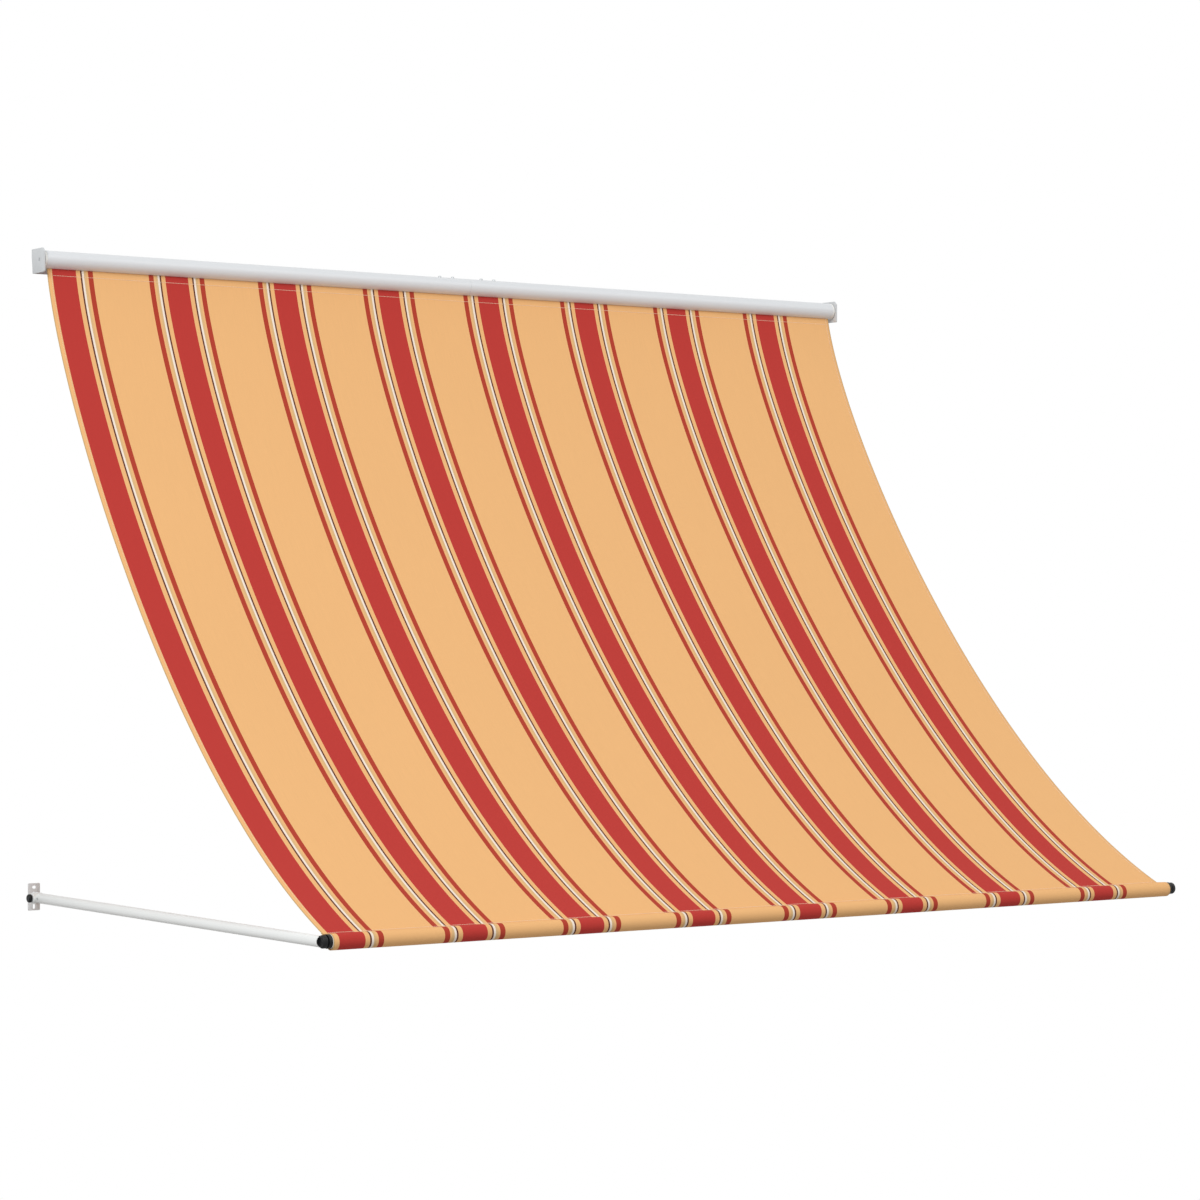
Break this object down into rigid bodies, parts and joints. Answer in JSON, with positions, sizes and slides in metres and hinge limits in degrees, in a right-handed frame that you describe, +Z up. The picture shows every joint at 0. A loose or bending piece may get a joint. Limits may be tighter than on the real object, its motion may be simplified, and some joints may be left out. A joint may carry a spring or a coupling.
{
  "type": "drop-arm wall awning",
  "caption": "Wall awning: striped cloth runs from a sprung roller on wall brackets down to a front bar, carried by hinged arms that swing up to wind the cloth in.",
  "frame": {"origin": "middle of the left roller bracket's flat face on the wall", "axes": "+X along the roller to the right as seen from outside, +Y into the wall, +Z up"},
  "size_m": [2.4822, 1.3861, 1.5815],
  "materials": {
    "roller_paint": "satin silver-white powder coat on steel tube",
    "grey_paint": "pale grey powder coat on bent steel sheet",
    "white_paint": "satin white powder coat on steel tube",
    "white_plastic": "moulded, fine grain",
    "black_plastic": "moulded, satin",
    "zinc": "bright zinc plate",
    "spring_steel": "oiled spring wire",
    "striped_cloth": "coated woven polyester, orange with red, brown and cream stripes along the fall"
  },
  "bodies": {
    "wall_mounts": {"roller_bracket_left": "grey_paint", "roller_bracket_right": "grey_paint", "thrust_washer_left": "white_plastic", "thrust_washer_right": "white_plastic", "arm_plate_left": "grey_paint", "arm_plate_right": "grey_paint", "pivot_bolt_left": "zinc", "pivot_bolt_right": "zinc", "pivot_nut_left": "zinc", "pivot_nut_right": "zinc", "pivot_washer_left": "zinc", "pivot_washer_right": "zinc", "pivot_cap_left": "black_plastic", "pivot_cap_right": "black_plastic", "spring_shaft": "zinc", "spring_anchor": "zinc", "idler_pin": "zinc", "canopy": "striped_cloth"},
    "roller": {"roller_tube_left": "roller_paint", "roller_tube_right": "roller_paint", "roller_plug_left": "white_plastic", "roller_plug_right": "white_plastic", "roller_joint_sleeve": "zinc", "shaft_bush": "white_plastic", "torsion_spring": "spring_steel", "bead_rod": "white_plastic", "joint_screw_left_1": "zinc", "joint_screw_left_2": "zinc", "joint_screw_right_1": "zinc", "joint_screw_right_2": "zinc"},
    "swing_frame": {"arm_knuckle_left": "white_paint", "arm_knuckle_right": "white_paint", "arm_tube_left": "white_paint", "arm_tube_right": "white_paint", "arm_rivet_left": "zinc", "arm_rivet_right": "zinc", "bar_elbow_left": "black_plastic", "bar_elbow_right": "black_plastic"},
    "front_bar": {"front_bar_left": "white_paint", "front_bar_right": "white_paint", "bar_plug_left": "black_plastic", "bar_plug_right": "black_plastic", "bar_joint_sleeve": "zinc"}
  },
  "joints": [
    {"name": "arm_swing", "type": "hinge", "parent": "wall_mounts", "child": "swing_frame", "pos_m": [0, -0.04, -1.511], "axis": [-1, 0, 0], "range_deg": [0, 90], "deforming": ["canopy"]},
    {"name": "front_bar_turn", "type": "hinge", "parent": "swing_frame", "child": "front_bar", "pos_m": [0, -1.37, -1.511], "axis": [-1, 0, 0], "range_deg": [-153.36, 0]},
    {"name": "roller_turn", "type": "hinge", "parent": "wall_mounts", "child": "roller", "pos_m": [0, -0.042, 0.011], "axis": [1, 0, 0], "range_deg": [0, 4320]}
  ],
  "couplings": [
    {"joint": "front_bar_turn", "follows": "arm_swing", "ratio": -1.704},
    {"joint": "roller_turn", "follows": "arm_swing", "ratio": 48}
  ]
}
